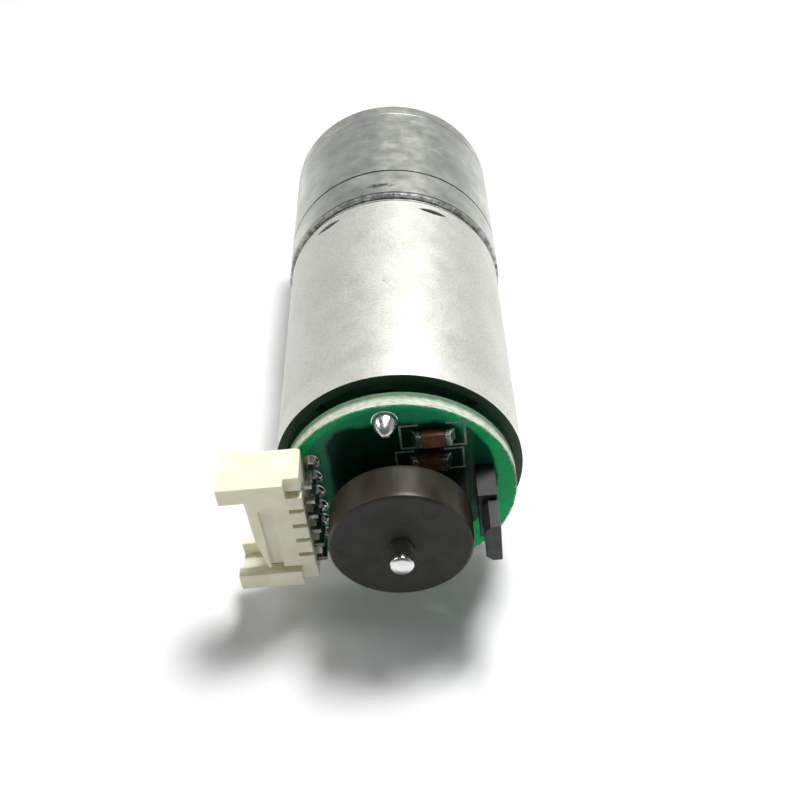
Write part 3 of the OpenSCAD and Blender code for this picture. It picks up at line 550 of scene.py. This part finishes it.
FINISHES = {
    "case_metal": case_metal,
    "can_steel": can_steel,
    "end_cap_plastic": end_cap_plastic,
    "board_green": board_green,
    "solder": solder,
    "capacitor_ceramic": capacitor_ceramic,
    "sensor_black": sensor_black,
    "connector_cream": connector_cream,
    "encoder_magnet": encoder_magnet,
    "shaft_steel": shaft_steel,
    "lamination_steel": lamination_steel,
    "copper_wire": copper_wire,
    "silk_print": silk_print,
    "dull_tin": dull_tin,
    "bronze": lambda: metal("bronze", (0.27, 0.17, 0.075), (0.50, 0.33, 0.16), (0.3, 0.5), 0.5,
                            relief=0.012),
    "pin_steel": lambda: metal("pin_steel", (0.42, 0.43, 0.44), (0.62, 0.63, 0.64), (0.16, 0.3)),
    "screw_steel": lambda: metal("screw_steel", (0.33, 0.34, 0.35), (0.55, 0.56, 0.57), (0.22, 0.38)),
    "zinc_screw": lambda: metal("zinc_screw", (0.50, 0.50, 0.46), (0.70, 0.70, 0.66), (0.22, 0.36)),
    "gear_steel": lambda: metal("gear_steel", (0.28, 0.27, 0.25), (0.48, 0.47, 0.44), (0.28, 0.42)),
    "brass_gear": lambda: metal("brass_gear", (0.50, 0.36, 0.13), (0.72, 0.55, 0.24), (0.18, 0.32)),
    "ferrite": lambda: grained("ferrite", (0.022, 0.022, 0.023), (0.05, 0.05, 0.052), 1.6,
                               (0.55, 0.75), 0.2, 0.02).material,
    "spring_steel": lambda: metal("spring_steel", (0.20, 0.22, 0.26), (0.38, 0.40, 0.44), (0.2, 0.34)),
    "carbon": lambda: grained("carbon", (0.018, 0.017, 0.016), (0.075, 0.05, 0.035), 0.35,
                              (0.45, 0.6), 0.1, 0.015).material,
    "copper_leaf": lambda: metal("copper_leaf", (0.52, 0.25, 0.13), (0.76, 0.42, 0.26), (0.18, 0.32)),
    "tinned_brass": lambda: metal("tinned_brass", (0.55, 0.52, 0.42), (0.74, 0.72, 0.64), (0.2, 0.36)),
    "commutator_plastic": lambda: grained("commutator_plastic", (0.05, 0.02, 0.012),
                                          (0.11, 0.05, 0.03), 1.2, (0.35, 0.5)).material,
    "commutator_copper": lambda: metal("commutator_copper", (0.50, 0.22, 0.12), (0.74, 0.38, 0.22),
                                       (0.15, 0.3), stretch=(4, 1, 4)),
    "spacer_plastic": lambda: grained("spacer_plastic", (0.55, 0.53, 0.47), (0.70, 0.68, 0.62),
                                      2.0, (0.4, 0.55)).material,
}

MATERIAL_OF = {
    "front_plate": "case_metal", "gearbox_tube": "case_metal", "rear_plate": "case_metal",
    "output_bushing": "bronze", "gear_pin_left": "pin_steel", "gear_pin_right": "pin_steel",
    "pin_spacers": "pin_steel", "tie_screws": "screw_steel", "motor_mount_screws": "zinc_screw",
    "output_shaft": "shaft_steel", "output_gear": "gear_steel", "output_washer": "pin_steel",
    "compound_gear_1": "brass_gear", "compound_gear_2": "gear_steel", "compound_gear_3": "gear_steel",
    "compound_gear_4": "gear_steel", "motor_can": "can_steel", "front_bearing": "bronze",
    "field_magnet_upper": "ferrite", "field_magnet_lower": "ferrite", "magnet_springs": "spring_steel",
    "end_cap": "end_cap_plastic", "rear_bearing": "bronze", "brushes": "carbon",
    "brush_arms": "copper_leaf", "motor_terminals": "tinned_brass", "motor_shaft": "shaft_steel",
    "motor_pinion": "brass_gear", "armature_core": "lamination_steel",
    "armature_windings": "copper_wire", "commutator_hub": "commutator_plastic",
    "commutator_segments": "commutator_copper", "rotor_spacers": "spacer_plastic",
    "encoder_board": "board_green", "terminal_solder": "solder",
    "capacitor_bodies": "capacitor_ceramic", "capacitor_ends": "solder", "hall_spacer": "sensor_black",
    "hall_sensor": "sensor_black", "hall_leads": "dull_tin",
    "connector_housing": "connector_cream", "connector_pins": "dull_tin",
    "connector_solder": "solder", "encoder_magnet": "encoder_magnet",
}

# Edge rounding of the CAD nodes whose edges show, in millimetres
EDGE_R = {
    "front_plate": 0.12, "gearbox_tube": 0.04, "rear_plate": 0.06, "output_bushing": 0.08,
    "tie_screws": 0.05, "motor_mount_screws": 0.05, "output_shaft": 0.08,
    "end_cap": 0.08, "capacitor_bodies": 0.08, "capacitor_ends": 0.12,
    "hall_spacer": 0.08, "hall_sensor": 0.08, "hall_leads": 0.06, "connector_housing": 0.09,
    "connector_pins": 0.05, "motor_terminals": 0.05,
}


# ---- meshes ----

def round_edges(node, radius):
    """Joins a CAD node's faces, rounds its edges and evens its shading, all as modifiers."""
    weld = node.modifiers.new("weld", "WELD")
    weld.merge_threshold = 0.0005 * MM
    bevel = node.modifiers.new("round", "BEVEL")
    bevel.width = radius * MM
    bevel.segments = 2
    bevel.limit_method = "ANGLE"
    bevel.angle_limit = math.radians(28)
    bevel.harden_normals = False
    even = node.modifiers.new("even", "WEIGHTED_NORMAL")
    even.keep_sharp = True


def new_piece(name, mesh, material, body="stator", smooth=True):
    """A finished piece from a bmesh, in that material, which rides on body."""
    bmesh.ops.recalc_face_normals(mesh, faces=mesh.faces)
    data = bpy.data.meshes.new(name)
    mesh.to_mesh(data)
    mesh.free()
    for face in data.polygons:
        face.use_smooth = smooth
    piece = bpy.data.objects.new(name, data)
    bpy.context.scene.collection.objects.link(piece)
    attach(piece, body)
    data.materials.append(MATERIALS[material])
    return piece


def board_point(across, up, depth):
    """A point of the board's clocked frame in the part's frame, in metres."""
    return Vector((across * math.cos(BOARD_TURN) - up * math.sin(BOARD_TURN), -depth,
                   across * math.sin(BOARD_TURN) + up * math.cos(BOARD_TURN))) * MM


def add_lathe(mesh, profile, place, turns=40, wobble=None):
    """Adds a closed turned solid. profile runs from the axis to the axis as (radius, height) pairs."""
    rings = []
    for radius, height in profile:
        if radius == 0:
            rings.append([mesh.verts.new(place(0, 0, height))])
            continue
        ring = []
        for i in range(turns):
            angle = 2 * math.pi * i / turns
            r = radius * (1 + (wobble(angle, height) if wobble else 0))
            ring.append(mesh.verts.new(place(r * math.cos(angle), r * math.sin(angle), height)))
        rings.append(ring)
    for lower, upper in zip(rings, rings[1:]):
        for i in range(turns):
            j = (i + 1) % turns
            if len(lower) == 1:
                mesh.faces.new((lower[0], upper[i], upper[j]))
            elif len(upper) == 1:
                mesh.faces.new((lower[i], lower[j], upper[0]))
            else:
                mesh.faces.new((lower[i], lower[j], upper[j], upper[i]))


def join_rings(mesh, rings):
    """Adds the faces between each ring of points and the next, and from the last to the first."""
    for a, b in zip(rings, rings[1:] + rings[:1]):
        for i in range(len(a)):
            j = (i + 1) % len(a)
            mesh.faces.new((a[i], a[j], b[j], b[i]))


def add_ribbon(mesh, points, width, depth, thickness):
    """Adds a thin raised stripe on the board along (across, up) points, mitred at its corners."""
    flat = [Vector(p) for p in points]
    sides = []
    for i, p in enumerate(flat):
        before = (p - flat[i - 1]).normalized() if i else None
        after = (flat[i + 1] - p).normalized() if i + 1 < len(flat) else None
        first, last = before or after, after or before
        run = (first + last).normalized()
        out = Vector((-run.y, run.x))
        spread = width / 2 / max(0.3, abs(out.dot(Vector((-first.y, first.x)))))
        sides.append((p + out * spread, p - out * spread))
    rows = []
    for left, right in sides:
        rows.append([mesh.verts.new(board_point(q.x, q.y, d))
                     for q, d in ((left, depth), (left, depth + thickness),
                                  (right, depth + thickness), (right, depth))])
    for a, b in zip(rows, rows[1:]):
        for i in range(4):
            mesh.faces.new((a[i], a[(i + 1) % 4], b[(i + 1) % 4], b[i]))
    mesh.faces.new(rows[0])
    mesh.faces.new(rows[-1])


# ---- the detailed pieces ----

# Marks on the magnet's face: three round pin marks as (across, up, radius, depth), a groove as
# (radius, half width, depth), and a cone at the bore as (width, depth)
MAGNET_PINS = ((-5.1, -0.3, 0.72, 0.09), (2.6, 4.5, 0.72, 0.09), (3.1, -4.3, 0.72, 0.05))
MAGNET_GROOVE = (3.1, 0.12, 0.05)
MAGNET_CONE = (0.5, 0.10)
MAGNET_TURNS = 192
PIN_SOFTNESS = 0.05
HUB_CHAMFER = 0.1


def face_sink(x, z, r, bore):
    """How deep the marks on the magnet's face are at a point of it."""
    groove_r, groove_half, groove_depth = MAGNET_GROOVE
    cone_w, cone_depth = MAGNET_CONE
    sink = groove_depth * math.exp(-((r - groove_r) / groove_half) ** 2)
    if r < bore + cone_w:
        sink += cone_depth * (1 - (r - bore) / cone_w)
    for pin_x, pin_z, radius, depth in MAGNET_PINS:
        off = math.hypot(x - pin_x, z - pin_z)
        sink += depth / (1 + math.exp((off - radius) / PIN_SOFTNESS))
    return sink


def magnet_profile(outer, bore, front, rear):
    """The magnet's closed outline as (radius, depth, whether the face's marks are there)."""
    hub_base = front + HUB_L
    bevel = MAGNET_BEVEL
    # the face, with rings closer together at its groove
    face_rings = [bore, bore + 0.12, 1.6, 2.2, 2.75, 2.95, 3.05, 3.25, 3.45]
    face_rings += [3.45 + 0.2 * i for i in range(1, 15)] + [6.3]
    profile = [(r, rear, True) for r in face_rings]
    # the rim between its two rounded edges
    for i in range(5):
        angle = math.radians(90 * i / 4)
        profile.append((outer - bevel + bevel * math.sin(angle),
                        rear - bevel + bevel * math.cos(angle), False))
    for i in range(1, 8):
        profile.append((outer, rear - bevel - (rear - front - HUB_L - 2 * bevel) * i / 8, False))
    for i in range(5):
        angle = math.radians(90 * i / 4)
        profile.append((outer - bevel + bevel * math.cos(angle),
                        hub_base + bevel - bevel * math.sin(angle), False))
    # the hub on the side of the motor
    profile += [(HUB_R + HUB_CHAMFER, hub_base, False), (HUB_R, hub_base - HUB_CHAMFER, False),
                (HUB_R, front + HUB_CHAMFER, False), (HUB_R - HUB_CHAMFER, front, False),
                (bore, front, False)]
    return profile


def make_magnet():
    """The ring magnet as one turned solid, with the shallow marks that its mould leaves."""
    low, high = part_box("encoder_magnet")
    outer = (high.x - low.x) / 2 / MM
    front, rear = -high.y / MM, -low.y / MM
    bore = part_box("motor_shaft")[1].z / MM
    mesh = bmesh.new()
    rings = []
    for r, depth, marked in magnet_profile(outer, bore, front, rear):
        ring = []
        for i in range(MAGNET_TURNS):
            angle = 2 * math.pi * i / MAGNET_TURNS
            x, z = r * math.cos(angle), r * math.sin(angle)
            sink = face_sink(x, z, r, bore) if marked else 0
            ring.append(mesh.verts.new(Vector((x, -(depth - sink), z)) * MM))
        rings.append(ring)
    join_rings(mesh, rings)
    piece = new_piece("ring_magnet", mesh, "encoder_magnet", "rotor")
    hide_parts("encoder_magnet")


def make_motor_shaft():
    """The motor's shaft as a turned rod with a domed rear end."""
    low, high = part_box("motor_shaft")
    r = high.z / MM
    front, rear = -high.y / MM, -low.y / MM
    dome, rim = 0.42, 0.3
    profile = [(0, rear)]
    for i in range(1, 7):
        profile.append((r * (1 - rim) * i / 6, rear - dome * 0.35 * (i / 6) ** 2))
    for i in range(1, 6):
        turn = math.radians(90 * i / 5)
        profile.append((r * (1 - rim + rim * math.sin(turn)),
                        rear - dome * (0.35 + 0.85 * (1 - math.cos(turn)))))
    profile += [(r, rear - 2.0), (r, front + 0.2), (r - 0.2, front), (0, front)]
    mesh = bmesh.new()
    add_lathe(mesh, profile, lambda a, b, depth: Vector((a, -depth, b)) * MM, 64)
    piece = new_piece("tail_shaft", mesh, "shaft_steel", "rotor")
    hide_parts("motor_shaft")


def make_terminal_joints():
    """A tall teardrop of solder over each motor terminal."""
    low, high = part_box("terminal_solder")
    board_rear = -high.y / MM
    height = (high.y - low.y) / MM
    rise = ((0, 0), (1.08, 0), (1.13, 0.10), (1.13, 0.30), (1.08, 0.55), (0.99, 0.82), (0.87, 1.10),
            (0.74, 1.38), (0.61, 1.62), (0.48, 1.82), (0.33, 1.96), (0.16, 2.05), (0, 2.08))
    scale = height / rise[-1][1]
    mesh = bmesh.new()
    for angle in TERMINAL_ANGLES:
        turn = math.radians(angle)
        x, z = TERMINAL_R * math.cos(turn), TERMINAL_R * math.sin(turn)

        def place(a, b, h, x=x, z=z):
            return Vector((x + a, -(board_rear + h * scale), z + b)) * MM

        add_lathe(mesh, rise, place, 40,
                  lambda t, h: 0.05 * math.sin(2 * t + 1 + h) + 0.03 * math.sin(3 * t))
    piece = new_piece("terminal_joints", mesh, "solder")
    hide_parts("terminal_solder")


def make_contact_joints():
    """A small cone of solder round each connector leg."""
    low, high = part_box("connector_solder")
    board_rear = -high.y / MM
    rise = ((0, 0), (0.79, 0), (0.80, 0.03), (0.70, 0.09), (0.60, 0.18), (0.52, 0.30), (0.47, 0.43),
            (0.42, 0.53), (0.34, 0.585), (0, 0.6))
    mesh = bmesh.new()
    for i in range(CONTACTS):
        up = (i - (CONTACTS - 1) / 2) * CONTACT_PITCH

        def place(a, b, h, up=up):
            return board_point(CONTACT_ROW_X + a, up + b, board_rear + h)

        add_lathe(mesh, rise, place, 32,
                  lambda t, h, i=i: 0.05 * math.sin(2 * t + i) + 0.03 * math.sin(3 * t - i))
    piece = new_piece("contact_joints", mesh, "solder")
    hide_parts("connector_solder")


def make_board_print():
    """The printed outlines round the two capacitors."""
    depth = -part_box("encoder_board")[0].y / MM
    mesh = bmesh.new()
    for (left, bottom), (right, top) in PRINT_FRAMES:
        for x, turn_in in ((left, PRINT_TURN_IN), (right, -PRINT_TURN_IN)):
            add_ribbon(mesh, ((x + turn_in, top), (x, top), (x, bottom), (x + turn_in, bottom)),
                       PRINT_W, depth, PRINT_T)
    new_piece("board_print", mesh, "silk_print", smooth=False)


def add_ring(mesh, across, up, inner, outer, depth, thickness, turns=32):
    """Adds a flat raised ring on the board."""
    loops = []
    for radius, level in ((inner, depth), (inner, depth + thickness), (outer - 0.02, depth + thickness),
                          (outer, depth)):
        loops.append([mesh.verts.new(board_point(across + radius * math.cos(2 * math.pi * i / turns),
                                                 up + radius * math.sin(2 * math.pi * i / turns), level))
                      for i in range(turns)])
    join_rings(mesh, loops)


def make_board_pads():
    """Tinned rings on the board where the legs and terminals pass through it."""
    depth = -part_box("encoder_board")[0].y / MM
    mesh = bmesh.new()
    for i in range(CONTACTS):
        up = (i - (CONTACTS - 1) / 2) * CONTACT_PITCH
        add_ring(mesh, CONTACT_ROW_X, up, *CONTACT_PAD, depth, PAD_T)
    for angle in TERMINAL_ANGLES:
        turn = math.radians(angle) - BOARD_TURN
        across, up = TERMINAL_R * math.cos(turn), TERMINAL_R * math.sin(turn)
        add_ring(mesh, across, up, *TERMINAL_PAD, depth, PAD_T)
    piece = new_piece("board_pads", mesh, "solder")


def floor_paper():
    """White paper that glows more with distance."""
    look = grained("paper", (0.90, 0.905, 0.90), (0.93, 0.935, 0.93), 30.0, (0.7, 0.85), 0.4, 0.01,
                   Emission_Color=(1.0, 1.0, 1.0))
    away = look.add("VectorMath", {0: look.scaled(1.0)}, operation="LENGTH").outputs["Value"]
    look.set("Emission Strength", look.between(away, FLOOR_GLOW_FROM, FLOOR_GLOW_TO, *FLOOR_GLOW))
    return look.material


def make_floor():
    """A wide sheet of paper just under the motor."""
    mesh = bmesh.new()
    bmesh.ops.create_grid(mesh, x_segments=1, y_segments=1, size=FLOOR_HALF * MM)
    data = bpy.data.meshes.new("floor")
    mesh.to_mesh(data)
    mesh.free()
    data.materials.append(floor_paper())
    floor = bpy.data.objects.new("floor", data)
    floor.location = (0, 0, cad_low.z - FLOOR_GAP * MM)
    bpy.context.scene.collection.objects.link(floor)


# ---- putting it together ----

make_camera()

MATERIALS = {name: make() for name, make in FINISHES.items()}

for name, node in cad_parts.items():
    node.data.materials.clear()
    node.data.materials.append(MATERIALS[MATERIAL_OF[name]])
    if name in EDGE_R:
        round_edges(node, EDGE_R[name])

make_magnet()
make_motor_shaft()
make_terminal_joints()
make_contact_joints()
make_board_print()
make_board_pads()

make_floor()

bpy.context.scene.view_settings.view_transform = "Standard"
make_world(HORIZON_LIGHT, OVERHEAD_LIGHT)
for name, (place, size, power) in LIGHTS.items():
    soft_light(name, place, MIDDLE, size, power)
